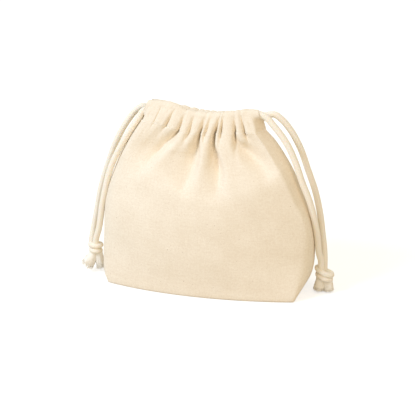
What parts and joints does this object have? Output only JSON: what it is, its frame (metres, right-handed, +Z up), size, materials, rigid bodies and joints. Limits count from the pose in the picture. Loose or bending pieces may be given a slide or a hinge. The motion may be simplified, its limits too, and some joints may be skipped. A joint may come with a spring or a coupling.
{
  "type": "drawstring pouch",
  "caption": "Cotton canvas kinchaku pouch with a boxed flat base, its mouth gathered in a double casing by knotted drawcords that pull from opposite sides.",
  "frame": {"origin": "on the floor, under the middle of the base", "axes": "+X along the wide side to the right as seen from the front, +Y to the back, +Z up through the gathered mouth"},
  "size_m": [0.2623, 0.0992, 0.1919],
  "materials": {
    "canvas": "unbleached plain-weave cotton canvas with seed flecks, matte",
    "cord_cotton": "soft undyed braided cotton cord, matte"
  },
  "bodies": {
    "root": {"pouch_body": "canvas", "right_drawcord": "cord_cotton", "left_drawcord": "cord_cotton", "right_knot": "cord_cotton", "left_knot": "cord_cotton"}
  },
  "joints": []
}
